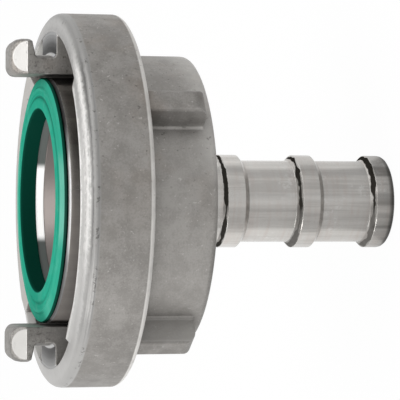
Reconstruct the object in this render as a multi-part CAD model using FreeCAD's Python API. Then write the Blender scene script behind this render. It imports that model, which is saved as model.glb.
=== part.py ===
import FreeCAD, Part
import math
import os

# Quarter turn fire hose coupling: a hose tail with a cup and a face seal, and
# a cast lug ring that turns freely on it. It stands on the end of its tail.
# Z is the coupling's axis, the two lugs lie on the X axis, and the origin is
# the middle of the tail's end. Lengths are in millimetres, angles in degrees.

# Hose tail for a 25 mm hose
bore_radius = 9.5
tube_radius = 11.0
rib_radius = 12.5
rib_count = 3
rib_pitch = 20.7
end_rib_top = 6.7
rib_crest = 4.7
rib_slope = 1.4
tail_end_round = 1.8
bore_chamfer = 0.6
neck_radius = 12.0
neck_length = 8.2

# Fits between the tail and the lug ring
rib_clearance = 0.2
running_clearance = 0.08
axial_clearance = 0.2

# Hooked lugs, and the standard spacing between their inner faces
lug_spacing = 66.0
lug_width = 19.0
lug_reach = 11.0
lug_neck_thickness = 5.4
neck_round = 1.0
hook_overhang = 4.2
hook_height = 5.6
hook_undercut = 1.0
hook_round = 3.2
lug_inner_round = 2.6
lead_in_width = 5.0
lead_in_drop = 3.4

# Cup at the head of the tail, which carries the seal and lies inside the lugs
cup_gap = 0.5
cup_height = 31.9
cup_edge_chamfer = 0.6
funnel_throat_rise = 9.0
funnel_step = 0.2
funnel_land = 2.3

# Face seal, held by its foot in a groove of the cup
seal_edge_inset = 0.1
seal_face_width = 8.4
seal_crown = 0.9
seal_crown_width = 2.4
seal_seat_depth = 4.3
seal_lip_thickness = 0.65
seal_lip_gap = 0.35
seal_lip_overhang = 3.3
seal_foot_grip = 1.2
seal_foot_inset = 1.7
seal_foot_depth = 1.8
seal_foot_height = 2.6
seal_clearance = 0.1
seal_edge_round = 0.6
seal_groove_place = 3.4
seal_ridge_place = 5.6
seal_relief = 0.3

# Lock ring between the cup and the lug ring
lock_seat_depth = 1.5
lock_grip = 1.3
lock_thickness = 2.4
lock_rise = 5.0
lock_gap_angle = 8.0
lock_clearance = 0.15

# Lug ring: hub, flange and rim
hub_side_wall = 6.1
hub_length = 18.9
hub_wall = 5.5
hub_back_round = 1.3
hub_root_round = 1.0
ring_depth = 16.6
ring_back_round = 1.4
ring_front_round = 2.3
rim_wall = 4.9
rim_slope = 0.16

# Channel under the lips, where the other half's lugs travel
channel_clearance = 2.0
channel_depth = 12.8

# Ramped lips that the other half's hooks slide under
lip_clearance = 0.5
lip_start = 46.0
lip_end = 143.0
lip_thin = 1.0
lip_thick = 2.0
crest_inset = 0.6
crest_rise = 0.7
crest_bevel = 1.6
crest_lead = 4.0
lip_fall = 1.4

# Ribs on the hub for a hook spanner
spanner_rib_count = 4
spanner_rib_angle = 56.1
spanner_rib_height = 7.5
spanner_rib_width = 6.9
spanner_rib_draft = 3.0
spanner_rib_inset = 3.0
spanner_rib_end_round = 3.5
spanner_rib_edge_round = 1.2
spanner_rib_root_round = 1.2

# Radii that follow from the lugs' spacing, from the inside to the outside
lug_inner_radius = lug_spacing / 2
cup_radius = lug_inner_radius - cup_gap
cavity_radius = cup_radius + running_clearance
hub_radius = cavity_radius + hub_side_wall
spanner_rib_radius = hub_radius + spanner_rib_height
neck_outer_radius = lug_inner_radius + lug_neck_thickness
hook_radius = neck_outer_radius + hook_overhang
lip_radius = neck_outer_radius + lip_clearance
channel_radius = hook_radius + channel_clearance
crest_radius = channel_radius - crest_inset
ring_radius = channel_radius + rim_wall

# Radii of the seal and the lock ring, which follow from the cup
seal_lip_radius = cup_radius - seal_edge_inset
seal_bore_radius = seal_lip_radius - seal_face_width
seal_neck_radius = seal_lip_radius - seal_lip_overhang
seal_foot_radius = seal_neck_radius + seal_foot_grip
seal_foot_inner_radius = seal_bore_radius + seal_foot_inset
seal_groove_radius = seal_bore_radius + seal_groove_place
seal_ridge_radius = seal_bore_radius + seal_ridge_place
funnel_radius = seal_bore_radius + funnel_step
lock_inner_radius = cup_radius - lock_seat_depth
lock_outer_radius = cup_radius + lock_grip
hub_bore_radius = rib_radius + rib_clearance
journal_radius = hub_bore_radius - running_clearance

# Places along the axis that follow from these lengths
neck_top = end_rib_top + (rib_count - 1) * rib_pitch + neck_length
hub_back = neck_top + axial_clearance
cavity_floor = hub_back + hub_wall
cup_back = cavity_floor + axial_clearance
cup_front = cup_back + cup_height
seal_edge = cup_front + seal_lip_gap + seal_lip_thickness
seal_front = seal_edge + seal_crown
seal_seat = seal_front - seal_seat_depth
ring_back = hub_back + hub_length
rim_corner = ring_back + ring_depth
rim_front = rim_corner + rim_slope * rim_wall
channel_floor = rim_front - channel_depth
crest_front = rim_front + rim_slope * crest_inset + crest_rise
lip_front = crest_front - lip_fall
lug_tip = rim_front + lug_reach
lock_bottom = cup_back + lock_rise

# A little more than any outline needs, for cutting tools that run past it
past = 2.0

# Sections of a lip's ramp, and flats that make up each round of a turned form
ramp_sections = 6
round_flats = 4


def point_between(start, end, distance):
    """The point at a distance from start on the way to end."""
    length = math.dist(start, end)
    share = distance / length
    return tuple(a + (b - a) * share for a, b in zip(start, end))


def corner_arc(before, corner, after, radius):
    """The start, middle and end of the arc that rounds a corner."""
    first = math.atan2(before[1] - corner[1], before[0] - corner[0])
    second = math.atan2(after[1] - corner[1], after[0] - corner[0])
    half = abs((second - first + math.pi) % (2 * math.pi) - math.pi) / 2
    run = radius / math.tan(half)
    start = point_between(corner, before, run)
    end = point_between(corner, after, run)
    toward = ((start[0] + end[0]) / 2, (start[1] + end[1]) / 2)
    middle = point_between(corner, toward, radius / math.sin(half) - radius)
    return start, middle, end


def rounded_face(corners, place):
    """A flat face whose corners are (a, b) or (a, b, radius), put in space by place."""
    edges = []
    last = None
    first = None
    count = len(corners)
    for index, corner in enumerate(corners):
        before = corners[index - 1][:2]
        after = corners[(index + 1) % count][:2]
        arc = None
        start = end = corner[:2]
        if len(corner) == 3 and corner[2] > 0:
            start, middle, end = corner_arc(before, corner[:2], after, corner[2])
            arc = Part.Arc(place(start), place(middle), place(end)).toShape()
        if last is not None and math.dist(last, start) > 1e-6:
            edges.append(Part.makeLine(place(last), place(start)))
        if arc is not None:
            edges.append(arc)
        if first is None:
            first = start
        last = end
    if math.dist(last, first) > 1e-6:
        edges.append(Part.makeLine(place(last), place(first)))
    return Part.Face(Part.Wire(edges))


def in_radial_plane(point):
    """A point given as (radius, height) in the plane through X and Z."""
    return FreeCAD.Vector(point[0], 0, point[1])


def in_cross_plane(point):
    """A point given as (x, y) in the plane at the origin's height."""
    return FreeCAD.Vector(point[0], point[1], 0)


def in_side_plane(point):
    """A point given as (y, z) in the plane through Y and Z."""
    return FreeCAD.Vector(0, point[0], point[1])


def turned(shape, angle):
    """A copy of a shape, turned about the coupling's axis from +X towards -Y."""
    copy = shape.copy()
    copy.rotate(FreeCAD.Vector(0, 0, 0), FreeCAD.Vector(0, 0, 1), -angle)
    return copy


def with_flats(corners):
    """An outline whose rounded corners are short flats, which keep a turned form light."""
    points = []
    for index, corner in enumerate(corners):
        if len(corner) == 2:
            points.append(corner)
            continue
        before = corners[index - 1][:2]
        after = corners[(index + 1) % len(corners)][:2]
        ends = corner_arc(before, corner[:2], after, corner[2])
        arc = Part.Arc(*[in_radial_plane(point) for point in ends])
        points += [(point.x, point.z) for point in arc.discretize(round_flats + 1)]
    return points


def revolved(corners, start=0.0, end=360.0):
    """A profile of (radius, height) corners turned from one angle to another."""
    face = rounded_face(with_flats(corners), in_radial_plane)
    solid = face.revolve(FreeCAD.Vector(0, 0, 0), FreeCAD.Vector(0, 0, 1), end - start)
    return turned(solid, end)


def rim_height(radius):
    """The height of the rim's sloping front face at a radius."""
    return rim_corner + rim_slope * (ring_radius - radius)


def make_hose_tail():
    """The hose tail: ribs, neck, journal and cup, turned from one bar."""
    outline = [(bore_radius + bore_chamfer, 0.0), (rib_radius, 0.0, tail_end_round)]
    for index in range(rib_count):
        top = end_rib_top + index * rib_pitch
        crest_top = top - rib_slope
        crest_bottom = crest_top - rib_crest
        if index > 0:
            outline.append((tube_radius, crest_bottom - rib_slope))
            outline.append((rib_radius, crest_bottom))
        outline.append((rib_radius, crest_top))
        if index < rib_count - 1:
            outline.append((tube_radius, top))
    outline.append((neck_radius, top))
    outline.append((neck_radius, neck_top))
    outline.append((journal_radius, neck_top))
    outline.append((journal_radius, cup_back))
    outline.append((cup_radius - cup_edge_chamfer, cup_back))
    outline.append((cup_radius, cup_back + cup_edge_chamfer))
    # groove that the lock ring springs out of
    groove_depth = lock_outer_radius - cup_radius + lock_clearance
    groove_floor = lock_inner_radius - groove_depth
    outline.append((cup_radius, lock_bottom))
    outline.append((groove_floor, lock_bottom))
    outline.append((groove_floor, lock_bottom + lock_thickness + lock_clearance))
    outline.append((cup_radius, lock_bottom + lock_thickness + lock_clearance))
    outline.append((cup_radius, cup_front - cup_edge_chamfer))
    outline.append((cup_radius - cup_edge_chamfer, cup_front))
    # throat and groove that hold the seal's foot
    neck_wall = seal_neck_radius + seal_clearance
    foot_wall = seal_foot_radius + seal_clearance
    foot_bottom = seal_seat - seal_foot_depth - seal_clearance
    foot_top = seal_seat - seal_foot_depth + seal_foot_height + seal_clearance
    outline.append((neck_wall, cup_front))
    outline.append((neck_wall, foot_top))
    outline.append((foot_wall, foot_top))
    outline.append((foot_wall, foot_bottom))
    outline.append((seal_foot_inner_radius - seal_clearance, foot_bottom))
    outline.append((seal_foot_inner_radius - seal_clearance, seal_seat))
    # bore of the cup, funnel and hose bore
    outline.append((funnel_radius, seal_seat))
    outline.append((funnel_radius, seal_seat - funnel_land))
    outline.append((bore_radius, cup_back + funnel_throat_rise))
    outline.append((bore_radius, bore_chamfer))
    return revolved(outline)


def seal_height(radius):
    """The height of the seal's face, which falls from its crown to its outer edge."""
    crown_end = seal_bore_radius + seal_crown_width
    share = (radius - crown_end) / (seal_lip_radius - crown_end)
    return seal_front - seal_crown * share


def make_face_seal():
    """The green face seal, with a proud inner edge, a groove and a ridge on its face."""
    foot_bottom = seal_seat - seal_foot_depth
    foot_top = foot_bottom + seal_foot_height
    lip_bottom = seal_edge - seal_lip_thickness
    step = 2 * seal_relief
    outline = [
        (seal_bore_radius, seal_seat),
        (seal_bore_radius, seal_front, seal_edge_round),
        (seal_bore_radius + seal_crown_width, seal_front),
        (seal_groove_radius - step, seal_height(seal_groove_radius - step)),
        (seal_groove_radius, seal_height(seal_groove_radius) - seal_relief),
        (seal_groove_radius + step, seal_height(seal_groove_radius + step)),
        (seal_ridge_radius - step, seal_height(seal_ridge_radius - step)),
        (seal_ridge_radius, seal_height(seal_ridge_radius) + seal_relief),
        (seal_ridge_radius + step, seal_height(seal_ridge_radius + step)),
        (seal_lip_radius - seal_relief, seal_height(seal_lip_radius - seal_relief)),
        (seal_lip_radius, seal_edge - seal_relief),
        (seal_lip_radius, lip_bottom),
        (seal_neck_radius, lip_bottom),
        (seal_neck_radius, foot_top),
        (seal_foot_radius, foot_top),
        (seal_foot_radius, foot_bottom),
        (seal_foot_inner_radius, foot_bottom),
        (seal_foot_inner_radius, seal_seat),
    ]
    return revolved(outline)


def make_lock_ring():
    """The split spring ring that keeps the lug ring on the cup."""
    low = lock_bottom + lock_clearance / 2
    outline = [
        (lock_inner_radius, low),
        (lock_outer_radius, low),
        (lock_outer_radius, low + lock_thickness),
        (lock_inner_radius, low + lock_thickness),
    ]
    half_gap = lock_gap_angle / 2
    return revolved(outline, half_gap, 360.0 - half_gap)


def ring_body():
    """The lug ring's turned form, without its lips, lugs and spanner ribs."""
    groove_radius = lock_outer_radius + 2 * lock_clearance
    groove_low = lock_bottom - lock_clearance
    groove_high = lock_bottom + lock_thickness + 2 * lock_clearance
    outline = [
        (hub_bore_radius, hub_back),
        (hub_radius, hub_back, hub_back_round),
        (hub_radius, ring_back, hub_root_round),
        (ring_radius, ring_back, ring_back_round),
        (ring_radius, rim_corner, ring_front_round),
        (channel_radius, rim_height(channel_radius)),
        (channel_radius, channel_floor),
        (cavity_radius, channel_floor),
        (cavity_radius, groove_high),
        (groove_radius, groove_high),
        (groove_radius, groove_low),
        (cavity_radius, groove_low),
        (cavity_radius, cavity_floor),
        (hub_bore_radius, cavity_floor),
    ]
    return revolved(outline)


def above_ramp():
    """The space above the rising underside of a lip, from its start to its end."""
    sections = []
    inner = lip_radius - past
    outer = channel_radius + past
    high = crest_front + past
    for index in range(ramp_sections + 1):
        share = index / ramp_sections
        angle = lip_start + (lip_end - lip_start) * share
        low = lip_front - lip_thin - (lip_thick - lip_thin) * share
        corners = [(inner, low), (outer, low), (outer, high), (inner, high)]
        corners.append(corners[0])
        wire = Part.makePolygon([in_radial_plane(corner) for corner in corners])
        sections.append(turned(wire, angle))
    return Part.makeLoft(sections, True, False)


def crest_lead_in():
    """The wedge that is cut off a lip's top, so that its crest rises from its start."""
    side = [
        (past, rim_front),
        (0.0, rim_front),
        (-crest_lead, crest_front),
        (-crest_lead, crest_front + past),
        (past, crest_front + past),
    ]
    face = rounded_face(side, in_side_plane)
    wedge = face.extrude(FreeCAD.Vector(ring_radius, 0, 0))
    return turned(wedge, lip_start)


def make_lip():
    """One lip: a ledge inside the rim with a helical ramp beneath it."""
    low = lip_front - lip_thick - past
    bevel_end = crest_radius + crest_bevel
    bevel_foot = rim_height(bevel_end)
    wall = channel_radius + past / 4
    outline = [
        (lip_radius, low),
        (lip_radius, lip_front),
        (crest_radius, crest_front),
        (bevel_end, bevel_foot),
        (bevel_end, bevel_foot - past / 2),
        (wall, bevel_foot - past / 2),
        (wall, low),
    ]
    ledge = revolved(outline, lip_start, lip_end)
    return ledge.common(above_ramp()).cut(crest_lead_in())


def make_lug():
    """One hooked lug on +X, solid down to the channel's floor."""
    hook_bottom = lug_tip - hook_height
    inner = lug_inner_radius
    wall = channel_radius + past / 4
    outline = [
        (inner - past, channel_floor - past / 4),
        (wall, channel_floor - past / 4),
        (wall, rim_height(wall)),
        (neck_outer_radius, rim_front, neck_round),
        (neck_outer_radius, hook_bottom, neck_round),
        (hook_radius, hook_bottom + hook_undercut),
        (hook_radius, lug_tip, hook_round),
        (inner - past, lug_tip),
    ]
    width = lug_width / 2
    body = revolved(outline, -30.0, 30.0)
    flat = width - lead_in_width
    side = [
        (-width, channel_floor - past),
        (width, channel_floor - past),
        (width, lug_tip - lead_in_drop),
        (flat, lug_tip, neck_round),
        (-flat, lug_tip, neck_round),
        (-width, lug_tip - lead_in_drop),
    ]
    block = rounded_face(side, in_side_plane)
    block.translate(FreeCAD.Vector(inner, 0, 0))
    block = block.extrude(FreeCAD.Vector(hook_radius, 0, 0))
    radial = [
        (inner, channel_floor - past),
        (hook_radius + past, channel_floor - past),
        (hook_radius + past, lug_tip),
        (inner, lug_tip, lug_inner_round),
    ]
    nose = rounded_face(radial, in_radial_plane)
    nose.translate(FreeCAD.Vector(0, -lug_width, 0))
    nose = nose.extrude(FreeCAD.Vector(0, 2 * lug_width, 0))
    return body.common(block).common(nose)


def make_spanner_rib():
    """One rib on the hub on +X, with sloping flanks and a rounded lower end."""
    root = spanner_rib_width / 2
    crest = root - spanner_rib_height * math.tan(math.radians(spanner_rib_draft))
    flare = root + 2 * spanner_rib_root_round
    base_x = math.sqrt(hub_radius ** 2 - root ** 2)
    flare_x = math.sqrt((hub_radius - spanner_rib_root_round / 4) ** 2 - flare ** 2)
    section = [
        (flare_x - past, -flare),
        (flare_x, -flare),
        (base_x, -root, spanner_rib_root_round),
        (spanner_rib_radius, -crest, spanner_rib_edge_round),
        (spanner_rib_radius, crest, spanner_rib_edge_round),
        (base_x, root, spanner_rib_root_round),
        (flare_x, flare),
        (flare_x - past, flare),
    ]
    low = hub_back + spanner_rib_inset
    high = ring_back + past / 4
    column = rounded_face(section, in_cross_plane)
    column.translate(FreeCAD.Vector(0, 0, low))
    column = column.extrude(FreeCAD.Vector(0, 0, high - low))
    side = [
        (flare_x - past, low),
        (spanner_rib_radius, low, spanner_rib_end_round),
        (spanner_rib_radius, high),
        (flare_x - past, high),
    ]
    slab = rounded_face(side, in_radial_plane)
    slab.translate(FreeCAD.Vector(0, -flare, 0))
    slab = slab.extrude(FreeCAD.Vector(0, 2 * flare, 0))
    return column.common(slab)


def make_lug_ring():
    """The cast lug ring, with two lugs, two ramped lips and its spanner ribs."""
    lip = make_lip()
    lug = make_lug()
    pieces = [turned(lip, 0.0), turned(lip, 180.0), turned(lug, 0.0), turned(lug, 180.0)]
    rib = make_spanner_rib()
    for index in range(spanner_rib_count):
        pieces.append(turned(rib, spanner_rib_angle + index * 360.0 / spanner_rib_count))
    return ring_body().fuse(pieces).removeSplitter()


def one_solid(name, shape):
    """The single valid solid of a shape."""
    solids = shape.Solids
    if len(solids) != 1 or not solids[0].isValid():
        raise ValueError(name + " is not one valid solid")
    return solids[0]


nodes = {
    "hose_tail": make_hose_tail(),
    "face_seal": make_face_seal(),
    "lock_ring": make_lock_ring(),
    "lug_ring": make_lug_ring(),
}

os.makedirs("parts", exist_ok=True)
for name, shape in nodes.items():
    solid = one_solid(name, shape)
    solid.exportStep("parts/" + name + ".step")
    print(name, round(solid.Volume), "mm3")
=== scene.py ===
import math

import bmesh
import bpy
from bpy.props import FloatProperty, FloatVectorProperty, PointerProperty
from bpy.types import Operator, Panel, PropertyGroup
from mathutils import Matrix, Vector


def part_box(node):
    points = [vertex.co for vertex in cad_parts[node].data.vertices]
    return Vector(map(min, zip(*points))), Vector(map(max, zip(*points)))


bl_info = {
    "name": "Quarter Turn Hose Coupling",
    "version": (1, 0, 0),
    "blender": (4, 5, 0),
    "location": "View3D > Sidebar > Coupling",
    "description": "Finishes a quarter turn hose coupling and lights it on a pale floor",
    "category": "Object",
}

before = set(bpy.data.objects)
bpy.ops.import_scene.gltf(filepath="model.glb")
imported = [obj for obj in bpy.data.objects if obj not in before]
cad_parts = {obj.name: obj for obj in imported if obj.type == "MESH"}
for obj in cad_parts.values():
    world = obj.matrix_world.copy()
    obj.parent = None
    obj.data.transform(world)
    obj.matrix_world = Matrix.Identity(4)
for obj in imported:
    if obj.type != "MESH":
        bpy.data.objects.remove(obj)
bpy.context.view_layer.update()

MM = 0.001

# Lug ring: heights along the axis, radii and half widths that its finish follows, in metres
RING_BACK = 75.4 * MM
HUB_BACK = 56.5 * MM
WALL = 49.5 * MM
CHANNEL = 44.6 * MM
NECK = 38.4 * MM
RIB_FOOT = 39.0 * MM
FOOT_HALF = 9.5 * MM
LEAD_IN = 37.6 * MM
LEAD_IN_WIDTH = 4.0 * MM
LEAD_IN_HEIGHT = 3.1 * MM
RIM_LOW = 89.0 * MM
RIM_RISE = 5.0 * MM
LUG_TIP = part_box("lug_ring")[1].z

# Cup and face seal, in the same way
CUP_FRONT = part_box("hose_tail")[1].z
CUP_EDGE = 31 * MM
CUP_WIDTH = 50 * MM
CUP_BORE = 25 * MM
LAND_BACK = CUP_FRONT - 4.7 * MM
FUNNEL_FOOT = 70 * MM
SEAL_BORE = 24.6 * MM
SEAL_BAND = 28.8 * MM
SEAL_GROOVE = 27.4 * MM
SEAL_EDGE = 32.4 * MM
SEAL_RIM = 95.1 * MM

# Tube and hose ribs of the tail, in the same way
TUBE = 11 * MM
RIB_WIDTH = 25 * MM
RIB_PITCH = 20.7 * MM
RIB_TOP = 6.7 * MM
RIB_SLOPE = 1.4 * MM
RIB_UNDER = RIB_PITCH - 4.7 * MM
FIRST_RIB = 43 * MM
TAIL_REACH = 50 * MM

# How many stains, waves and the like a metre holds
STAINS = 38.0
BROWN_PATCHES = 55.0
RUBS = 90.0
FLECKS = 850.0
WAVES = 420.0
SCRATCHES = 700.0
SOFT_PATCHES = 110.0
NICKS = 300.0
OIL_WANDER = 330.0
OIL_BLOBS = 150.0

# Tones that are mixed into the casting, some of them painted light and shade
BROWN_TINT = (0.97, 0.91, 0.865, 1.0)
RIM_TINT = (1.0, 0.985, 0.96, 1.0)
RUBBED_AND_LIT_BACK = (0.67, 0.655, 0.63, 1.0)
UPPER_PLAIN_SHADE = (0.31, 0.31, 0.31, 1.0)
LOWER_PLAIN_LIGHT = (0.44, 0.44, 0.44, 1.0)
LOWER_FOOT_LIGHT = (0.45, 0.44, 0.43, 1.0)
LINE_END_SHADE = (0.16, 0.155, 0.15, 1.0)
NECK_WEAR_AND_HIGHLIGHT = (0.75, 0.74, 0.71, 1.0)
LIT_WALL = (0.9, 0.89, 0.86, 1.0)

# Tones that are mixed into the turned steel, the last four of them painted shade and painted light
TOOL_LINE = (0.34, 0.33, 0.31, 1.0)
PALE_BAR = (0.70, 0.69, 0.67, 1.0)
PALE_PATCH = (0.66, 0.65, 0.63, 1.0)
SCUFF = (0.85, 0.84, 0.82, 1.0)
NICK = (0.12, 0.11, 0.1, 1.0)
RIB_SHADE = (0.11, 0.105, 0.10, 1.0)
LAND_DIM = (0.19, 0.21, 0.20, 1.0)
LAND_LIT = (0.95, 0.95, 0.94, 1.0)
LAND_GLOW = (1.0, 1.0, 0.98, 1.0)

# Tones of the lock ring and the stage
SPRING_DARK = (0.35, 0.35, 0.34, 1.0)
SPRING_PALE = (0.5, 0.49, 0.47, 1.0)
PAPER = (0.9, 0.9, 0.9, 1.0)
WHITE = (1.0, 1.0, 1.0, 1.0)
BLACK = (0.0, 0.0, 0.0, 1.0)

# Ramps of grey, each stop a place and a tone: up the rim, the machined tone with painted highlight
# bands, and out over a lug's foot, a painted highlight line and a painted shadow
RIM_HIGHLIGHT_STOPS = [
    (0.10, 0.29), (0.22, 0.26), (0.35, 0.35), (0.42, 0.27), (0.49, 0.125), (0.53, 0.15),
    (0.57, 0.23), (0.60, 0.36), (0.64, 0.62), (0.675, 0.82), (0.71, 0.66), (0.74, 0.42),
    (0.78, 0.34), (0.84, 0.35), (0.90, 0.60),
]
LOW_RIM_HIGHLIGHT_STOPS = [
    (0.22, 0.24), (0.32, 0.17), (0.42, 0.24), (0.50, 0.29), (0.58, 0.36), (0.66, 0.52),
    (0.74, 0.47), (0.84, 0.50), (0.90, 0.66),
]
FOOT_LIGHT_AND_SHADE_STOPS = [
    (0.0, 0.6), (0.09, 0.7), (0.14, 0.03), (0.27, 0.035), (0.46, 0.09), (0.67, 0.20),
    (0.80, 0.25), (1.0, 0.29),
]

# Ramps across the end rib, the cup's wall and the bright line at the cup's front: a painted reflection,
# painted light and shade, and a painted highlight
END_RIB_REFLECTION_STOPS = [
    (0.19, 0.0), (0.224, 0.35), (0.26, 0.0), (0.44, 0.0), (0.48, 0.36), (0.57, 0.36),
    (0.61, 0.0), (0.76, 0.0), (0.79, 0.5), (0.86, 0.5), (0.90, 0.05),
]
CUP_WALL_LIGHT_STOPS = [
    (0.1, (0.20, 0.175, 0.16)), (0.3, (0.25, 0.22, 0.20)), (0.5, (0.30, 0.265, 0.245)),
    (0.75, (0.56, 0.50, 0.46)),
]
CUP_LINE_HIGHLIGHT_STOPS = [
    (0.0, 0.17), (0.16, 0.22), (0.32, 0.70), (0.68, 0.70), (0.78, 0.28), (0.90, 0.04),
]

# Ramps of the reflector: round the axis, and out from it
PANEL_STOPS = [
    (0.00, 1.05), (0.215, 1.00), (0.25, 0.62), (0.30, 0.60), (0.325, 0.78),
    (0.44, 0.74), (0.45, 0.64), (0.47, 0.80), (0.55, 0.80), (0.565, 0.66),
    (0.63, 0.70), (0.70, 0.66), (0.73, 1.10), (0.90, 1.08), (1.00, 1.05),
]
AWAY_STOPS = [
    (0.0, 0.25), (0.02, 0.66), (0.04, 0.82), (0.1, 0.86), (0.2, 1.0), (1.0, 1.0),
]

# The floor lies just under the part, and the reflector between the two
FLOOR_HEIGHT = -0.02 * MM
REFLECTOR_HEIGHT = -0.01 * MM
REFLECTOR_RADIUS = 1.0

# Lamps, each a name, a place, a width in metres and a power in watts, and where they aim
LAMP_AIM = (0.0, 0.0, 60 * MM)
LAMPS = [
    ("lamp_above", (0.1, -0.2, 0.9), 0.6, 4.0),
    ("lamp_low_side", (-0.7, -0.4, 0.35), 0.5, 4.0),
    ("lamp_high_side", (0.7, -0.3, 0.35), 0.4, 0.5),
]


class Wire:
    """A socket of a node. Sums and products of wires add the nodes that work them out."""

    def __init__(self, owner, socket):
        self.owner = owner
        self.socket = socket

    def maths(self, operation, first, second):
        settings = {"operation": operation}
        return self.owner.node("ShaderNodeMath", settings, {0: first, 1: second})

    def __add__(self, other):
        return self.maths("ADD", self, other)

    def __radd__(self, other):
        return self.maths("ADD", other, self)

    def __sub__(self, other):
        return self.maths("SUBTRACT", self, other)

    def __rsub__(self, other):
        return self.maths("SUBTRACT", other, self)

    def __mul__(self, other):
        return self.maths("MULTIPLY", self, other)

    def __rmul__(self, other):
        return self.maths("MULTIPLY", other, self)

    def __truediv__(self, other):
        return self.maths("DIVIDE", self, other)


class Nodes:
    """The node tree of a material or a world, which is cleared and built anew."""

    def __init__(self, tree):
        self.tree = tree
        self.tree.nodes.clear()

    def node(self, kind, settings, inputs, output=0):
        """Adds a node, sets it, then gives its sockets their values or links."""
        made = self.tree.nodes.new(kind)
        for name, value in settings.items():
            if name == "stops":
                self.set_stops(made.color_ramp, value)
            else:
                setattr(made, name, value)
        for place, value in inputs.items():
            if isinstance(value, Wire):
                self.tree.links.new(value.socket, made.inputs[place])
            else:
                made.inputs[place].default_value = value
        return Wire(self, made.outputs[output] if made.outputs else None)

    def set_stops(self, ramp, stops):
        """Gives a ramp its stops, each a place and a grey or a colour."""
        while len(ramp.elements) < len(stops):
            ramp.elements.new(1.0)
        for element, (place, tone) in zip(ramp.elements, stops):
            element.position = place
            element.color = (tone, tone, tone, 1.0) if isinstance(tone, float) else (*tone, 1.0)

    def object_point(self):
        """The point on the piece in its own frame, which moves with it."""
        return self.node("ShaderNodeTexCoord", {}, {}, "Object")

    def object_normal(self):
        """The surface's direction in the piece's own frame."""
        return self.node("ShaderNodeTexCoord", {}, {}, "Normal")

    def part_of(self, vector, axis):
        return self.node("ShaderNodeSeparateXYZ", {}, {0: vector}, axis)

    def noise(self, point, scale, detail=3.0, rough=0.5):
        inputs = {"Vector": point, "Scale": scale, "Detail": detail, "Roughness": rough}
        return self.node("ShaderNodeTexNoise", {}, inputs, "Fac")

    def cells(self, point, scale):
        return self.node("ShaderNodeTexVoronoi", {}, {"Vector": point, "Scale": scale}, "Distance")

    def ramp(self, value, stops, easing="EASE"):
        wire = self.node("ShaderNodeValToRGB", {"stops": stops}, {0: value})
        wire.socket.node.color_ramp.interpolation = easing
        return wire

    def size_of(self, value):
        """A value without its sign."""
        return self.node("ShaderNodeMath", {"operation": "ABSOLUTE"}, {0: value})

    def larger(self, first, second):
        return self.node("ShaderNodeMath", {"operation": "MAXIMUM"}, {0: first, 1: second})

    def between(self, value, low, high):
        """0 at low, 1 at high and a smooth rise from one to the other; low may be the larger."""
        settings = {"interpolation_type": "SMOOTHSTEP"}
        inputs = {"Value": value, "From Min": low, "From Max": high}
        return self.node("ShaderNodeMapRange", settings, inputs)

    def band(self, value, start, full, fall, end):
        """0 outside start and end, 1 from full to fall, and smooth rises beside them."""
        return self.between(value, start, full) * self.between(value, end, fall)

    def mixed(self, factor, first, second, mode="MIX"):
        """Two colours mixed by a factor."""
        settings = {"data_type": "RGBA", "blend_type": mode, "clamp_factor": True}
        return self.node("ShaderNodeMix", settings, {0: factor, 6: first, 7: second}, 2)

    def stretched(self, point, x, y, z):
        """A point scaled by its own amount along each axis."""
        settings = {"operation": "MULTIPLY"}
        return self.node("ShaderNodeVectorMath", settings, {0: point, 1: (x, y, z)})

    def radius(self, point):
        """The distance from the coupling's axis."""
        flat = self.stretched(point, 1.0, 1.0, 0.0)
        return self.node("ShaderNodeVectorMath", {"operation": "LENGTH"}, {0: flat}, "Value")

    def turn(self, point):
        """The angle round the axis, 0 on +Y and rising over +X, -Y and -X to 1."""
        x = self.part_of(point, "X")
        y = self.part_of(point, "Y")
        angle = self.node("ShaderNodeMath", {"operation": "ARCTAN2"}, {0: 0.0 - x, 1: 0.0 - y})
        return angle / math.tau + 0.5

    def softened(self, radius):
        """The surface's direction with its sharp edges rounded."""
        return self.node("ShaderNodeBevel", {"samples": 6}, {"Radius": radius})

    def edges(self, radius):
        """1 on sharp edges and 0 on open faces."""
        plain = self.node("ShaderNodeNewGeometry", {}, {}, "Normal")
        settings = {"operation": "DOT_PRODUCT"}
        inputs = {0: plain, 1: self.softened(radius)}
        near = self.node("ShaderNodeVectorMath", settings, inputs, "Value")
        return self.between(1.0 - near, 0.01, 0.2)

    def hollows(self, reach):
        """1 in tight corners and 0 on open faces."""
        open_share = self.node("ShaderNodeAmbientOcclusion", {"samples": 8}, {"Distance": reach}, "AO")
        return 1.0 - open_share

    def bump(self, height, depth, normal):
        inputs = {"Height": height, "Distance": depth, "Strength": 1.0, "Normal": normal}
        return self.node("ShaderNodeBump", {}, inputs)

    def seen(self):
        """1 on the rays that show in a picture, straight, reflected or through glass."""
        kinds = ("Is Camera Ray", "Is Glossy Ray", "Is Transmission Ray")
        straight, reflected, through = (
            self.node("ShaderNodeLightPath", {}, {}, kind) for kind in kinds)
        return self.larger(self.larger(straight, reflected), through)


class Finish(Nodes):
    """One material, its shader and the nodes that vary it."""

    def __init__(self, name):
        self.material = bpy.data.materials.new(name)
        self.material.use_nodes = True
        super().__init__(self.material.node_tree)

    def surface(self, inputs):
        """Ends the finish with a principled shader."""
        shader = self.node("ShaderNodeBsdfPrincipled", {}, inputs)
        self.node("ShaderNodeOutputMaterial", {}, {0: shader})
        return self.material


def colour(values):
    """A colour property as the four numbers that a socket takes."""
    return (values[0], values[1], values[2], 1.0)


def colour_property(name, description, default):
    return FloatVectorProperty(
        name=name, description=description, subtype="COLOR", min=0.0, max=1.0, default=default)


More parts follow.
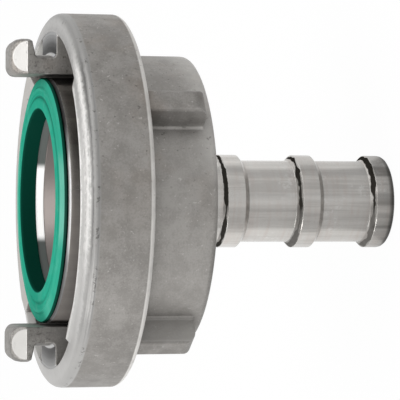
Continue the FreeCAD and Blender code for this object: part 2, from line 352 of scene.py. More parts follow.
class CastSteelSettings(PropertyGroup):
    """The blasted casting of the lug ring."""

    body: colour_property("Body", "The casting's grey", (0.312, 0.300, 0.284))
    shade: colour_property("Shade", "The darker grey of its mottling", (0.240, 0.229, 0.215))
    # This colour also paints light on the lower flanks of the hub's ribs.
    worn_and_lit: colour_property("Worn", "Machined or rubbed edges and faces", (0.60, 0.585, 0.56))
    ground: colour_property("Ground", "The ground faces of the lugs", (0.43, 0.42, 0.405))
    # This colour also paints shade in tight corners and on the hub's ribs and lower side.
    dirt_and_shade: colour_property("Dirt", "Pits and tight corners", (0.05, 0.046, 0.042))
    pits: FloatProperty(name="Pits", description="Pits in a metre", default=330.0)
    mottle: FloatProperty(name="Mottle", description="Patches in a metre", default=240.0)
    grain: FloatProperty(name="Grain", description="Grains in a metre", default=1900.0)
    depth: FloatProperty(
        name="Depth", description="Height of the blasted grain", default=0.00006, unit="LENGTH")
    roughness: FloatProperty(name="Roughness", description="How matte the casting is", default=0.55)


class TurnedSteelSettings(PropertyGroup):
    """The turned bar of the hose tail."""

    body: colour_property("Body", "The steel's colour", (0.60, 0.58, 0.55))
    tint: colour_property("Tint", "Slightly warmer streaks", (0.57, 0.515, 0.48))
    # This colour also paints shade in corners, on the ribs and the tail's end, a dark reflection on the
    # end rib and a shadow in the cup's gap.
    soot_and_shade: colour_property("Soot", "Old oil in the corners", (0.018, 0.016, 0.012))
    funnel: colour_property("Funnel", "The duller steel inside the cup", (0.145, 0.128, 0.12))
    marks: FloatProperty(name="Tool marks", description="Tool marks in a metre", default=2600.0)
    depth: FloatProperty(
        name="Depth", description="Depth of the tool marks", default=0.000006, unit="LENGTH")
    roughness: FloatProperty(name="Roughness", description="How matte the steel is", default=0.15)


class RubberSettings(PropertyGroup):
    """The moulded rubber of the face seal."""

    body: colour_property("Body", "The rubber's green", (0.025, 0.32, 0.215))
    # This colour also paints a sheen on the middle of the outer band and highlights on the edges.
    pale: colour_property("Pale", "The paler bloom on it", (0.19, 0.48, 0.39))
    deep: colour_property("Deep", "The shaded green of its bore", (0.002, 0.03, 0.019))
    shine: FloatProperty(name="Shine", description="How much the rubber reflects", default=0.0)
    roughness: FloatProperty(name="Roughness", description="How matte the rubber is", default=0.42)


class StageSettings(PropertyGroup):
    """The camera, the floor and the lamps."""

    distance: FloatProperty(
        name="Distance", description="From the camera to its aim", default=0.66984, unit="LENGTH")
    elevation: FloatProperty(
        name="Elevation", description="How far the camera looks down", default=math.radians(14.706),
        subtype="ANGLE")
    roll: FloatProperty(
        name="Roll", description="The picture's small turn", default=math.radians(0.2), subtype="ANGLE")
    aim_height: FloatProperty(
        name="Aim height", description="Height that the camera aims at", default=0.0514, unit="LENGTH")
    aim_side: FloatProperty(
        name="Aim side", description="Sideways place of the aim", default=0.000256, unit="LENGTH")
    lens: FloatProperty(name="Lens", description="Focal length in millimetres", default=224.0)
    floor: FloatProperty(name="Floor", description="Half the floor's width", default=4.0, unit="LENGTH")
    ambient: FloatProperty(name="Ambient", description="Brightness of the room", default=0.55)


class RingPlace:
    """Where a point of the lug ring lies, and which way its surface looks, as wires."""

    def __init__(self, finish):
        self.point = finish.object_point()
        self.height = finish.part_of(self.point, "Z")
        self.radius = finish.radius(self.point)
        self.across = finish.part_of(self.point, "X")
        self.from_middle = finish.size_of(self.across)
        along = finish.part_of(self.point, "Y")
        self.from_plane = finish.size_of(along)
        normal = finish.object_normal()
        self.up = finish.part_of(normal, "Z")
        self.side = finish.size_of(finish.part_of(normal, "Y"))
        self.facing_x = finish.part_of(normal, "X") * self.across
        self.facing = self.facing_x + finish.part_of(normal, "Y") * along
        self.on_lower = finish.between(self.across, 0.0, -MM)
        self.on_upper = finish.between(self.across, 0.0, MM)


class CastNoise:
    """The noises that mottle, pit and wear the casting, as wires."""

    def __init__(self, finish, point, settings):
        self.mottle = finish.noise(point, settings.mottle, 4.0, 0.6)
        self.grain = finish.noise(point, settings.grain, 3.0, 0.7)
        self.cloud = finish.noise(point, settings.mottle / 4, 2.0)
        self.specks = finish.noise(point, settings.grain / 2, 2.0, 0.6)
        self.wavy = finish.noise(point, WAVES, 4.0, 0.75)


def cast_pits(finish, place, noise, settings, upper):
    """Pits and dark specks, fewer of them on the lower side."""
    pits = finish.between(finish.cells(place.point, settings.pits), 0.12, 0.05)
    pits = pits * finish.between(noise.cloud, 0.47, 0.56)
    pits = finish.larger(pits, finish.between(noise.specks, 0.34, 0.27))
    return pits * (0.2 + 0.8 * upper)


def cast_body(finish, place, noise, settings):
    """The blasted casting with its mottling, stains and brown patches."""
    dirt_and_shade = colour(settings.dirt_and_shade)
    worn_and_lit = colour(settings.worn_and_lit)
    blend = noise.mottle * 0.45 + noise.grain * 0.4 + noise.cloud * 0.15
    blend = finish.between(blend, 0.40, 0.60)
    tone = finish.mixed(blend, colour(settings.shade), colour(settings.body))
    tone = finish.mixed(finish.between(noise.specks, 0.66, 0.74) * 0.35, tone, worn_and_lit)
    stain = finish.noise(place.point, STAINS, 5.0, 0.65)
    tone = finish.mixed(finish.between(stain, 0.50, 0.68) * 0.15, tone, dirt_and_shade)
    tone = finish.mixed(finish.between(stain, 0.50, 0.34) * 0.07, tone, worn_and_lit)
    brown = finish.between(finish.noise(place.point, BROWN_PATCHES, 3.0, 0.6), 0.46, 0.62)
    brown = brown * finish.between(place.across, -20 * MM, 30 * MM)
    tone = finish.mixed(brown * 0.8, tone, BROWN_TINT, "MULTIPLY")
    flecks = finish.between(finish.noise(place.point, FLECKS, 3.0, 0.7), 0.5, 0.34)
    flecks = flecks * finish.between(place.height, RIM_LOW + 4.5 * MM, RIM_LOW + 5 * MM)
    return finish.mixed(flecks * 0.5, tone, dirt_and_shade)


def cast_hub(finish, place, settings, hub, tone):
    """The hub, a little paler than the ring, and the flanks of its ribs that face the middle, with
    painted shade on the upper flanks, painted light on the lower flanks and a band of painted shade on
    the lower side.
    """
    tone = finish.mixed(hub * 0.12, tone, colour(settings.worn_and_lit))
    flank = finish.between(place.radius, RIB_FOOT, RIB_FOOT + 0.4 * MM)
    flank = flank * finish.between(place.height, RING_BACK, RING_BACK - 0.3 * MM)
    flank = flank * finish.between(place.facing_x, -4 * MM, -10 * MM)
    # painted shade on the upper flanks and painted light on the lower flanks
    tone = finish.mixed(flank * place.on_upper * 0.3, tone, colour(settings.dirt_and_shade))
    tone = finish.mixed(flank * place.on_lower * 0.4, tone, colour(settings.worn_and_lit))
    # a band of painted shade on the lower side
    low_side = finish.band(place.across, -42 * MM, -34 * MM, -18 * MM, -8 * MM)
    return finish.mixed(low_side * 0.14, tone, colour(settings.dirt_and_shade))


def cast_back(finish, place, noise, hub, tone):
    """The edges at the backs of the ring and of the hub, rubbed bright, with a painted highlight on the
    upper side of the hub's back end and edge.
    """
    back = finish.between(place.height, RING_BACK + 1.5 * MM, RING_BACK + 1.1 * MM)
    back = back * finish.between(place.radius, WALL - 2 * MM, WALL - 1.5 * MM)
    rubs = finish.between(finish.noise(place.point, RUBS, 3.0, 0.6), 0.42, 0.6)
    back = back * (0.8 + 0.4 * rubs)
    # painted highlight on the upper side of the hub's back end and edge
    upper_side = finish.between(place.across, 2 * MM, 14 * MM)
    hub_edge = finish.between(place.height, HUB_BACK + 1.4 * MM, HUB_BACK + 0.9 * MM)
    hub_end = hub * finish.between(place.height, HUB_BACK + 9 * MM, HUB_BACK)
    hub_highlight = finish.larger(hub_end * upper_side * 0.4, hub_edge * upper_side * 0.45)
    back = finish.larger(back, hub_highlight)
    return finish.mixed(back * (0.75 + 0.6 * noise.mottle), tone, RUBBED_AND_LIT_BACK)


def cast_rim(finish, place, noise, settings, rim, tone):
    """The rounds and the machined face of the rim, then the crests of the lips, by height, with painted
    highlight bands and a softer painted copy of them on the lower half; plain casting beside the lugs
    is painted darker on the upper side and lighter on the lower side.
    """
    ragged = (noise.specks - 0.5) * 0.07 + (noise.wavy - 0.5) * 0.12
    rise = (place.height - RIM_LOW) / RIM_RISE + ragged
    # the machined tone with painted highlight bands, and a softer painted copy of them on the lower
    # half
    low_half = finish.between(place.across, -6 * MM, -24 * MM)
    upper_rim_highlights = finish.ramp(rise, RIM_HIGHLIGHT_STOPS)
    rim_highlight_tone = finish.mixed(low_half, upper_rim_highlights, finish.ramp(rise, LOW_RIM_HIGHLIGHT_STOPS))
    # plain casting beside the lugs: painted shade on the upper side, painted light on the lower side
    plain = finish.between(place.from_middle, 30 * MM, 41 * MM)
    plain = plain * finish.between(place.radius, CHANNEL - 0.4 * MM, CHANNEL + 0.8 * MM)
    plain_light_and_shade = finish.mixed(place.on_lower, UPPER_PLAIN_SHADE, LOWER_PLAIN_LIGHT)
    rim_highlight_tone = finish.mixed(plain * 0.8, rim_highlight_tone, plain_light_and_shade)
    rim_highlight_tone = finish.mixed(1.0, rim_highlight_tone, RIM_TINT, "MULTIPLY")
    tone = finish.mixed(rim * (0.75 + 0.4 * noise.mottle), tone, rim_highlight_tone)
    dots = finish.band(
        place.height, RIM_LOW + 0.6 * MM, RIM_LOW + 0.9 * MM, RIM_LOW + 1.5 * MM, RIM_LOW + 1.8 * MM)
    dots = dots * finish.between(noise.mottle, 0.50, 0.44)
    dots = dots * finish.between(noise.specks, 0.48, 0.42)
    return finish.mixed(dots * 0.55, tone, colour(settings.dirt_and_shade))


def cast_feet(finish, place, settings, tone):
    """The feet of the lugs inside the rim: a painted highlight line, a painted shadow and plain
    casting, with painted light on the lower side.
    """
    foot = finish.between(place.from_plane, FOOT_HALF + 0.2 * MM, FOOT_HALF)
    foot = foot * finish.between(place.radius, CHANNEL + 0.1 * MM, CHANNEL - 0.1 * MM)
    foot = foot * finish.between(place.up, 0.1, 0.3)
    foot = foot * finish.band(
        place.height, RIM_LOW + 2.8 * MM, RIM_LOW + 3 * MM, RIM_LOW + 5 * MM, RIM_LOW + 5.5 * MM)
    # painted highlight and shadow on the feet, painted light on the lower side and painted shade where
    # the line ends beside the lugs
    line_end_shade = finish.between(place.from_plane, FOOT_HALF - 1.5 * MM, FOOT_HALF - 0.8 * MM)
    line_end_shade = line_end_shade * finish.between(place.radius, NECK + 1.0 * MM, NECK + 0.8 * MM)
    foot_light_and_shade = finish.ramp((place.radius - NECK) / (CHANNEL - NECK), FOOT_LIGHT_AND_SHADE_STOPS)
    foot_light_and_shade = finish.mixed(place.on_lower * 0.2, foot_light_and_shade, LOWER_FOOT_LIGHT)
    foot_light_and_shade = finish.mixed(line_end_shade * 0.9, foot_light_and_shade, LINE_END_SHADE)
    tone = finish.mixed(foot, tone, foot_light_and_shade)

    # a bright line on the neck: wear with a painted highlight, stronger on the upper side
    neck = finish.band(
        place.radius, NECK - 0.25 * MM, NECK - 0.1 * MM, NECK + 0.3 * MM, NECK + 0.5 * MM)
    neck = neck * finish.band(
        place.height, RIM_LOW + 3.6 * MM, RIM_LOW + 4 * MM, RIM_LOW + 9 * MM, RIM_LOW + 9.5 * MM)
    neck = neck * finish.between(place.side, 0.9, 0.7)
    neck = neck * finish.between(place.from_plane, 7 * MM, 4.5 * MM)
    neck = neck * (0.25 + 0.75 * place.on_upper)
    tone = finish.mixed(neck * 0.8, tone, NECK_WEAR_AND_HIGHLIGHT)

    ledge = finish.band(
        place.radius, NECK + 0.4 * MM, NECK + 0.8 * MM, CHANNEL - 0.7 * MM, CHANNEL - 0.4 * MM)
    ledge = ledge * finish.between(place.from_plane, 9.8 * MM, 10.2 * MM)
    ledge = ledge * finish.between(place.height, RIM_LOW + 2.6 * MM, RIM_LOW + 3 * MM)
    ledge = ledge * finish.between(place.up, 0.3, 0.6)
    return finish.mixed(ledge * 0.55, tone, colour(settings.worn_and_lit))


def lead_in_faces(finish, place):
    """1 on the lead-in faces of the lugs, which are ground bright inside a half round."""
    aside = (place.from_middle - LEAD_IN) / LEAD_IN_WIDTH
    below = (place.height - LUG_TIP + 3.4 * MM) / LEAD_IN_HEIGHT
    lead_in = finish.between(place.side * 0.56 + place.up * 0.83, 0.985, 0.995)
    lead_in = lead_in * finish.between(aside * aside + below * below, 1.08, 0.92)
    return lead_in * finish.between(place.height, LUG_TIP - 5 * MM, LUG_TIP - 4.5 * MM)


def channel_wall(finish, place):
    """1 on the upper end of the channel's outer wall, where it faces the axis."""
    wall = finish.band(
        place.radius, CHANNEL - 0.3 * MM, CHANNEL - 0.1 * MM, CHANNEL + 0.1 * MM, CHANNEL + 0.3 * MM)
    wall = wall * finish.between(place.facing, -20 * MM, -35 * MM)
    return wall * finish.between(place.height, RIM_LOW + 1.2 * MM, RIM_LOW + 1.8 * MM)


def lug_ring_finish(settings):
    """Matte blasted casting with pits, pale rubbed edges and machined faces at its front, with painted
    highlights and painted shade set by place.
    """
    finish = Finish("cast_steel")
    place = RingPlace(finish)
    noise = CastNoise(finish, place.point, settings)
    dirt_and_shade = colour(settings.dirt_and_shade)
    upper = finish.between(place.across, -10 * MM, 30 * MM)
    pits = cast_pits(finish, place, noise, settings, upper)
    hub = finish.between(place.radius, RIB_FOOT + 2 * MM, RIB_FOOT)
    hub = hub * finish.between(place.height, RING_BACK, RING_BACK - 0.3 * MM)
    rim = finish.between(place.radius, CHANNEL - 0.8 * MM, CHANNEL - 0.6 * MM)
    rim = rim * finish.between(place.height, RIM_LOW + 0.3 * MM, RIM_LOW + 0.8 * MM)
    lead_in = lead_in_faces(finish, place)
    wall = channel_wall(finish, place)

    tone = cast_body(finish, place, noise, settings)
    tone = cast_hub(finish, place, settings, hub, tone)
    tone = cast_back(finish, place, noise, hub, tone)
    tone = cast_rim(finish, place, noise, settings, rim, tone)
    tone = cast_feet(finish, place, settings, tone)
    tone = finish.mixed(lead_in * (0.8 + 0.3 * noise.mottle), tone, colour(settings.ground))

    # grimy edges of the lugs' tips, the lit wall, then every other edge rubbed bright, the pits, and
    # painted shade in tight corners
    sharp = finish.edges(0.8 * MM)
    tip = finish.larger(sharp, finish.between(place.facing, 14 * MM, 36 * MM) * 0.7)
    tip = tip * (1.0 - lead_in)
    tip = tip * finish.between(place.height, LUG_TIP - 8.5 * MM, LUG_TIP - 7.5 * MM)
    tone = finish.mixed(tip * (0.25 + 0.5 * noise.mottle), tone, dirt_and_shade)
    tone = finish.mixed(wall, tone, LIT_WALL)
    worn_and_lit = sharp * (0.3 + 0.5 * finish.between(noise.mottle, 0.35, 0.65)) * (1.0 - tip)
    tone = finish.mixed(worn_and_lit * 0.5, tone, colour(settings.worn_and_lit))
    tone = finish.mixed(pits * 0.42, tone, dirt_and_shade)
    # painted shade in tight corners, which also stands for grime
    tone = finish.mixed(finish.hollows(5 * MM) * 0.5 * (1.0 - wall), tone, dirt_and_shade)

    bright = finish.larger(lead_in, rim * 0.6)
    relief = noise.grain * 0.7 + noise.mottle * 0.9 - pits * 1.5
    relief = relief * (1.0 - 0.7 * bright) * (0.7 + 0.6 * upper)
    return finish.surface({
        "Base Color": tone,
        "Metallic": 0.85 - 0.7 * wall,
        "Roughness": settings.roughness - 0.2 * bright + 0.1 * (noise.grain - 0.5),
        "Normal": finish.bump(relief, settings.depth, finish.softened(0.5 * MM)),
    })


class TailPlace:
    """Where a point of the hose tail lies, as wires. Its step starts again at each rib."""

    def __init__(self, finish):
        self.point = finish.object_point()
        self.height = finish.part_of(self.point, "Z")
        self.radius = finish.radius(self.point)
        self.across = finish.part_of(self.point, "X")
        along = (self.height - (RIB_TOP - RIB_SLOPE)) / RIB_PITCH
        share = finish.node("ShaderNodeMath", {"operation": "FRACT"}, {0: along})
        self.step = share * RIB_PITCH
        self.on_ribs = finish.between(self.height, TAIL_REACH, TAIL_REACH - 0.5 * MM)


class CupParts:
    """1 on each part of the cup that has a tone of its own, as wires: the funnel inside, and the land,
    gap, line and wall, which carry painted light and shade.
    """

    def __init__(self, finish, place):
        self.inside = finish.between(place.radius, CUP_BORE, CUP_BORE - 0.3 * MM)
        self.inside = self.inside * finish.between(place.height, FUNNEL_FOOT, FUNNEL_FOOT + 3 * MM)
        self.land = self.inside * finish.between(place.height, LAND_BACK, LAND_BACK + 0.3 * MM)
        self.lit = finish.between(finish.size_of(place.across + 0.6 * MM), 11 * MM, 8.8 * MM)
        outside = finish.between(place.radius, CUP_EDGE, CUP_EDGE + 0.3 * MM)
        self.gap = outside * finish.between(place.height, CUP_FRONT - 0.1 * MM, CUP_FRONT)
        self.line = finish.between(place.height, CUP_FRONT - 0.8 * MM, CUP_FRONT - 0.6 * MM)
        self.line = self.line * outside * (1.0 - self.gap)
        self.wall = finish.between(place.height, CUP_FRONT - 12 * MM, CUP_FRONT - 9 * MM)
        self.wall = self.wall * outside * finish.between(place.across, 18 * MM, -14 * MM)


def turned_body(finish, place, settings, patches, nicks):
    """Turned steel with warm streaks, tool lines, pale bars and patches, scuffs and nicks."""
    point = place.point
    streaks = finish.noise(finish.stretched(point, 90.0, 90.0, 900.0), 1.0, 3.0)
    warm = finish.between(streaks, 0.4, 0.7) * 0.7
    tone = finish.mixed(warm, colour(settings.body), colour(settings.tint))
    lines = finish.noise(finish.stretched(point, 520.0, 520.0, 16.0), 1.0, 4.0, 0.65)
    tone = finish.mixed(finish.between(lines, 0.40, 0.62) * 0.4, tone, TOOL_LINE)
    bars = finish.noise(finish.stretched(point, 160.0, 160.0, 6.0), 1.0, 1.0)
    tone = finish.mixed(finish.between(bars, 0.52, 0.62) * 0.25, tone, PALE_BAR)
    tone = finish.mixed(finish.between(patches, 0.3, 0.7) * 0.25, tone, PALE_PATCH)
    fine = finish.noise(point, SCRATCHES, 3.0, 0.7)
    scuffs = finish.between(patches, 0.55, 0.64) * finish.between(fine, 0.5, 0.6)
    tone = finish.mixed(scuffs * 0.3, tone, SCUFF)
    return finish.mixed(nicks * 0.6, tone, NICK)


def rib_oil_and_shade(finish, place):
    """1 on the dark line at the foot of each rib's slope, a wandering line with blobs: old oil with
    painted shade, stronger on the upper side and on the first rib.
    """
    wander = (finish.noise(place.point, OIL_WANDER, 3.0, 0.6) - 0.5) * 0.7 * MM
    blobs = finish.between(finish.noise(place.point, OIL_BLOBS, 2.0), 0.4, 0.62)
    step = place.step + wander
    oil = finish.between(step + 0.35 * MM * blobs, 0.35 * MM, 0.5 * MM)
    oil = oil * finish.between(step - 0.45 * MM * blobs, 0.85 * MM, 0.7 * MM)
    oil = oil * place.on_ribs * finish.between(place.radius, TUBE - 0.5 * MM, TUBE - 0.2 * MM)
    thick = 0.62 + 0.38 * finish.between(place.across, -4 * MM, -1 * MM)
    first_rib = finish.between(place.height, FIRST_RIB, FIRST_RIB + MM)
    return oil * finish.larger(thick, first_rib * 0.95)


def rib_shade(finish, place, slope):
    """The shade on the lower half of each rib's slope and in the corner under the rib."""
    low_slope = slope * finish.between(place.across, 0.0, -2 * MM)
    under = finish.band(
        place.step, RIB_UNDER - 1.05 * MM, RIB_UNDER - 0.8 * MM, RIB_UNDER, RIB_UNDER + 0.1 * MM)
    under = under * finish.between(place.radius, TUBE + 0.4 * MM, TUBE + 0.2 * MM)
    return finish.larger(low_slope * 0.5, under * place.on_ribs * 0.75)


def end_rib_tone(finish, place, settings, tone):
    """The end rib, with a painted reflection of a darker part of the room in three bands, and painted
    shade on its end.
    """
    shaded = finish.ramp(place.across / RIB_WIDTH + 0.5, END_RIB_REFLECTION_STOPS)
    shaded = shaded * finish.between(place.height, RIB_TOP, RIB_TOP - 0.4 * MM)
    shaded = shaded * finish.between(place.radius, TUBE + 0.5 * MM, TUBE + MM)
    tone = finish.mixed(shaded, tone, colour(settings.soot_and_shade))
    # painted shade on the tail's end
    end = finish.between(place.height, 2.0 * MM, 0.9 * MM)
    return finish.mixed(end * 0.6, tone, colour(settings.soot_and_shade))


def cup_tone(finish, place, cup, settings, tone):
    """The land behind the seal painted bright in its middle, the duller funnel, painted light and shade
    on the cup's wall, a painted highlight line at its front and a painted shadow in the gap.
    """
    tone = finish.mixed(cup.inside, tone, colour(settings.funnel))
    # painted light on the land, brightest in its middle
    tone = finish.mixed(cup.land, tone, finish.mixed(cup.lit, LAND_DIM, LAND_LIT))
    share = place.across / CUP_WIDTH + 0.5
    # painted light and shade on the cup's wall, changing across it
    tone = finish.mixed(cup.wall * 0.7, tone, finish.ramp(share, CUP_WALL_LIGHT_STOPS))
    # painted highlight on the line at the cup's front
    tone = finish.mixed(cup.line * 0.95, tone, finish.ramp(share, CUP_LINE_HIGHLIGHT_STOPS))
    # painted shadow in the gap under the seal's lip
    return finish.mixed(cup.gap * 0.95, tone, colour(settings.soot_and_shade))


def hose_tail_finish(settings):
    """Turned steel with fine tool marks, faint warm streaks and old oil in its corners, with painted
    shade, light and reflections on its ribs, end and cup.
    """
    finish = Finish("turned_steel")
    place = TailPlace(finish)
    cup = CupParts(finish, place)
    soot_and_shade = colour(settings.soot_and_shade)
    patches = finish.noise(place.point, SOFT_PATCHES, 3.0, 0.6)
    marks = finish.noise(finish.stretched(place.point, 12.0, 12.0, settings.marks), 1.0, 2.0)
    nicks = finish.between(finish.cells(place.point, NICKS), 0.07, 0.02)
    nicks = nicks * finish.between(patches, 0.52, 0.6)
    oil = rib_oil_and_shade(finish, place)
    slope = finish.between(place.step, RIB_SLOPE + 0.2 * MM, RIB_SLOPE) * place.on_ribs

    tone = turned_body(finish, place, settings, patches, nicks)
    # painted shade in tight corners, which also stands for grime
    tone = finish.mixed(finish.hollows(4 * MM) * 0.5, tone, soot_and_shade)
    tone = finish.mixed(rib_shade(finish, place, slope), tone, RIB_SHADE)
    # old oil with painted shade at the foot of each rib
    tone = finish.mixed(oil * 0.97, tone, soot_and_shade)
    tone = end_rib_tone(finish, place, settings, tone)
    tone = cup_tone(finish, place, cup, settings, tone)

    painted = finish.larger(cup.land, finish.larger(cup.line, 0.6 * cup.wall))
    roughness = settings.roughness + 0.12 * patches + 0.25 * oil + 0.2 * cup.inside + 0.25 * slope
    relief = (marks + nicks * -6.0 + patches * 1.5) * (1.0 - slope * 0.8)
    return finish.surface({
        "Base Color": tone,
        "Metallic": (1.0 - oil) * (1.0 - 0.9 * painted),
        "Specular IOR Level": 0.0,
        # the land's lit middle glows, a painted light
        "Emission Color": finish.mixed(cup.land * cup.lit, BLACK, LAND_GLOW),
        "Emission Strength": 0.55,
        "Roughness": roughness,
        "Normal": finish.bump(relief, settings.depth, finish.softened(0.3 * MM)),
    })


def face_seal_finish(settings):
    """Moulded green rubber with a paler outer band, a painted sheen on its middle, painted shade in its
    bore, groove and corners and at its outer edge, painted highlights on its edges and a very fine
    grain.
    """
    finish = Finish("green_rubber")
    point = finish.object_point()
    height = finish.part_of(point, "Z")
    radius = finish.radius(point)
    across = finish.part_of(point, "X")
    pale = colour(settings.pale)
    deep = colour(settings.deep)
    bloom = finish.noise(point, 130.0, 4.0, 0.6)
    grain = finish.noise(point, 2200.0, 2.0)
    rings = finish.noise(finish.stretched(point, 30.0, 30.0, 1200.0), 1.0, 2.0)
    tone = finish.mixed(finish.between(bloom, 0.45, 0.8) * 0.25, colour(settings.body), pale)
    # painted sheen on the outer band, strongest in the middle
    band = finish.between(radius, SEAL_BAND - 0.4 * MM, SEAL_BAND + 0.2 * MM)
    middle = finish.between(finish.size_of(across), 14 * MM, 6 * MM)
    tone = finish.mixed(band * (0.05 + 0.6 * middle * (0.5 + bloom)), tone, pale)
    # painted shade in the groove, weaker on the lower side
    groove = finish.between(finish.size_of(radius - SEAL_GROOVE), 0.55 * MM, 0.1 * MM)
    groove = groove * (0.3 + 0.7 * finish.between(across, -14 * MM, 4 * MM))
    tone = finish.mixed(groove * (0.2 + 0.4 * bloom), tone, deep)
    # painted highlight on the edges, then painted shade in tight corners
    tone = finish.mixed(finish.edges(0.5 * MM) * 0.2, tone, pale)
    tone = finish.mixed(finish.hollows(4 * MM) * 0.6, tone, deep)
    # painted shade in the bore and on the seal's outer edge
    bore = finish.between(radius, SEAL_BORE, SEAL_BORE - 0.4 * MM)
    rim = finish.between(radius, SEAL_EDGE - 0.45 * MM, SEAL_EDGE - 0.25 * MM)
    rim = rim * finish.between(height, SEAL_RIM + 0.3 * MM, SEAL_RIM + 0.1 * MM)
    tone = finish.mixed(finish.larger(bore, rim) * 0.93, tone, deep)
    relief = grain * 0.6 + rings * 0.4
    return finish.surface({
        "Base Color": tone,
        "Roughness": settings.roughness + 0.12 * bloom,
        "Specular IOR Level": settings.shine,
        "Normal": finish.bump(relief, 0.03 * MM, finish.softened(0.3 * MM)),
    })


def lock_ring_finish():
    """Plain spring steel with a little oil."""
    finish = Finish("spring_steel")
    patches = finish.noise(finish.object_point(), 160.0, 3.0)
    return finish.surface({
        "Base Color": finish.mixed(patches, SPRING_DARK, SPRING_PALE),
        "Metallic": 1.0,
        "Roughness": 0.25 + 0.2 * patches,
        "Normal": finish.bump(patches, 0.01 * MM, finish.softened(0.2 * MM)),
    })


def give(node, material):
    """Puts one material on a node of the frame."""
    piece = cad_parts[node]
    piece.data.materials.clear()
    piece.data.materials.append(material)


def flat_disc(name, radius, height):
    """A flat round sheet on the axis."""
    mesh = bpy.data.meshes.new(name)
    shape = bmesh.new()
    bmesh.ops.create_circle(shape, cap_ends=True, segments=96, radius=radius)
    shape.to_mesh(mesh)
    shape.free()
    sheet = bpy.data.objects.new(name, mesh)
    sheet.location.z = height
    bpy.context.scene.collection.objects.link(sheet)
    return sheet


def floor_finish():
    """White paper, which stays white in the picture and keeps a soft shadow."""
    finish = Finish("floor_paper")
    paper = finish.node("ShaderNodeBsdfDiffuse", {}, {"Color": PAPER})
    white = finish.node("ShaderNodeEmission", {}, {"Color": WHITE, "Strength": 1.0})
    shader = finish.node("ShaderNodeMixShader", {}, {0: finish.seen() * 0.97, 1: paper, 2: white})
    finish.node("ShaderNodeOutputMaterial", {}, {0: shader})
    return finish.material


def reflector_finish():
    """Light and dark panels round the part, which its metal reflects as long bands."""
    finish = Finish("reflector_panels")
    point = finish.object_point()
    bands = finish.ramp(finish.turn(point), PANEL_STOPS, "LINEAR")
    away = finish.ramp(finish.radius(point), AWAY_STOPS)
    shine = finish.mixed(1.0, bands, away, "MULTIPLY")
    light = finish.node("ShaderNodeEmission", {}, {"Color": shine, "Strength": 1.0})
    finish.node("ShaderNodeOutputMaterial", {}, {0: light})
    return finish.material


def room_light(ambient):
    """A white room, which lights the part softly and is white where it is seen."""
    world = bpy.data.worlds.new("pale_room")
    world.use_nodes = True
    bpy.context.scene.world = world
    room = Nodes(world.node_tree)
    strength = room.node("ShaderNodeMapRange", {}, {"Value": room.seen(), "To Min": ambient})
    glow = room.node("ShaderNodeBackground", {}, {"Color": WHITE, "Strength": strength})
    room.node("ShaderNodeOutputWorld", {}, {"Surface": glow})


def soft_lamp(name, place, width, power):
    """A square soft lamp that points at the middle of the part."""
    data = bpy.data.lights.new(name, "AREA")
    data.shape = "RECTANGLE"
    data.size = width
    data.size_y = width
    data.energy = power
    lamp = bpy.data.objects.new(name, data)
    lamp.location = place
    toward = Vector(LAMP_AIM) - Vector(place)
    lamp.rotation_euler = toward.to_track_quat("-Z", "Y").to_euler()
    bpy.context.scene.collection.objects.link(lamp)


def photo_camera(stage):
    """The camera, turned so that the coupling lies across the picture."""
    down = stage.elevation
    back = Vector((0.0, -math.cos(down), math.sin(down)))
    level = Vector((0.0, -math.sin(down), -math.cos(down)))
    upward = Vector((1.0, 0.0, 0.0))
    right = level * math.cos(stage.roll) + upward * math.sin(stage.roll)
    above = upward * math.cos(stage.roll) - level * math.sin(stage.roll)
    aim = Vector((stage.aim_side, 0.0, stage.aim_height))
    data = bpy.data.cameras.new("photo_camera")
    data.lens = stage.lens
    data.sensor_width = 36.0
    data.clip_start = 0.01
    data.clip_end = 50.0
    camera = bpy.data.objects.new("photo_camera", data)
    matrix = Matrix((right, above, back)).transposed().to_4x4()
    matrix.translation = aim + back * stage.distance
    camera.matrix_world = matrix
    bpy.context.scene.collection.objects.link(camera)
    bpy.context.scene.camera = camera


class COUPLING_OT_finish_lug_ring(Operator):
    """Give the lug ring its cast finish"""

    bl_idname = "coupling.finish_lug_ring"
    bl_label = "Finish Lug Ring"

    def execute(self, context):
        give("lug_ring", lug_ring_finish(context.scene.coupling_cast))
        return {"FINISHED"}


class COUPLING_OT_finish_hose_tail(Operator):
    """Give the hose tail its turned finish"""

    bl_idname = "coupling.finish_hose_tail"
    bl_label = "Finish Hose Tail"

    def execute(self, context):
        give("hose_tail", hose_tail_finish(context.scene.coupling_turned))
        return {"FINISHED"}


class COUPLING_OT_finish_face_seal(Operator):
    """Give the face seal its rubber finish"""

    bl_idname = "coupling.finish_face_seal"
    bl_label = "Finish Face Seal"

    def execute(self, context):
        give("face_seal", face_seal_finish(context.scene.coupling_rubber))
        return {"FINISHED"}


class COUPLING_OT_finish_lock_ring(Operator):
    """Give the hidden lock ring its spring steel finish"""

    bl_idname = "coupling.finish_lock_ring"
    bl_label = "Finish Lock Ring"

    def execute(self, context):
        give("lock_ring", lock_ring_finish())
        return {"FINISHED"}


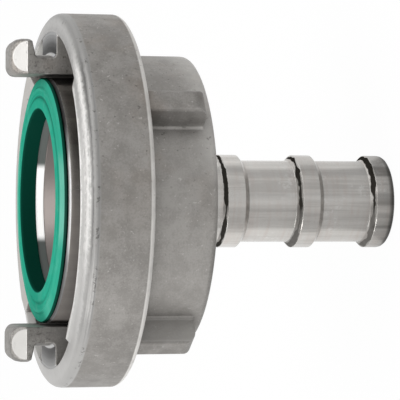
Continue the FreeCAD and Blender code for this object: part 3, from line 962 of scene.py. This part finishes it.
class COUPLING_OT_make_stage(Operator):
    """Add the floor, the room, the lamps and the camera"""

    bl_idname = "coupling.make_stage"
    bl_label = "Make Stage"

    def execute(self, context):
        stage = context.scene.coupling_stage
        floor = flat_disc("floor", stage.floor, FLOOR_HEIGHT)
        floor.data.materials.append(floor_finish())
        panels = flat_disc("reflector", REFLECTOR_RADIUS, REFLECTOR_HEIGHT)
        panels.data.materials.append(reflector_finish())
        panels.visible_camera = False
        panels.visible_diffuse = False
        panels.visible_shadow = False
        panels.visible_transmission = False
        room_light(stage.ambient)
        for name, place, width, power in LAMPS:
            soft_lamp(name, place, width, power)
        photo_camera(stage)
        context.scene.view_settings.view_transform = "Standard"
        return {"FINISHED"}


class COUPLING_PT_tools(Panel):
    """Lists the steps that finish the coupling"""

    bl_label = "Coupling"
    bl_idname = "COUPLING_PT_tools"
    bl_space_type = "VIEW_3D"
    bl_region_type = "UI"
    bl_category = "Coupling"

    def draw(self, context):
        for step in steps:
            self.layout.operator(step.bl_idname)
        for name, group in groups.items():
            column = self.layout.column()
            column.label(text=group.__doc__)
            for field in group.__annotations__:
                column.prop(getattr(context.scene, name), field)


groups = {
    "coupling_cast": CastSteelSettings,
    "coupling_turned": TurnedSteelSettings,
    "coupling_rubber": RubberSettings,
    "coupling_stage": StageSettings,
}
steps = (
    COUPLING_OT_finish_lug_ring,
    COUPLING_OT_finish_hose_tail,
    COUPLING_OT_finish_face_seal,
    COUPLING_OT_finish_lock_ring,
    COUPLING_OT_make_stage,
)
classes = (*groups.values(), *steps, COUPLING_PT_tools)


def register():
    for each in classes:
        bpy.utils.register_class(each)
    for name, group in groups.items():
        setattr(bpy.types.Scene, name, PointerProperty(type=group))


def unregister():
    for name in groups:
        delattr(bpy.types.Scene, name)
    for each in reversed(classes):
        bpy.utils.unregister_class(each)


def main():
    register()
    bpy.ops.coupling.finish_lug_ring()
    bpy.ops.coupling.finish_hose_tail()
    bpy.ops.coupling.finish_face_seal()
    bpy.ops.coupling.finish_lock_ring()
    bpy.ops.coupling.make_stage()


if __name__ == "__main__":
    main()
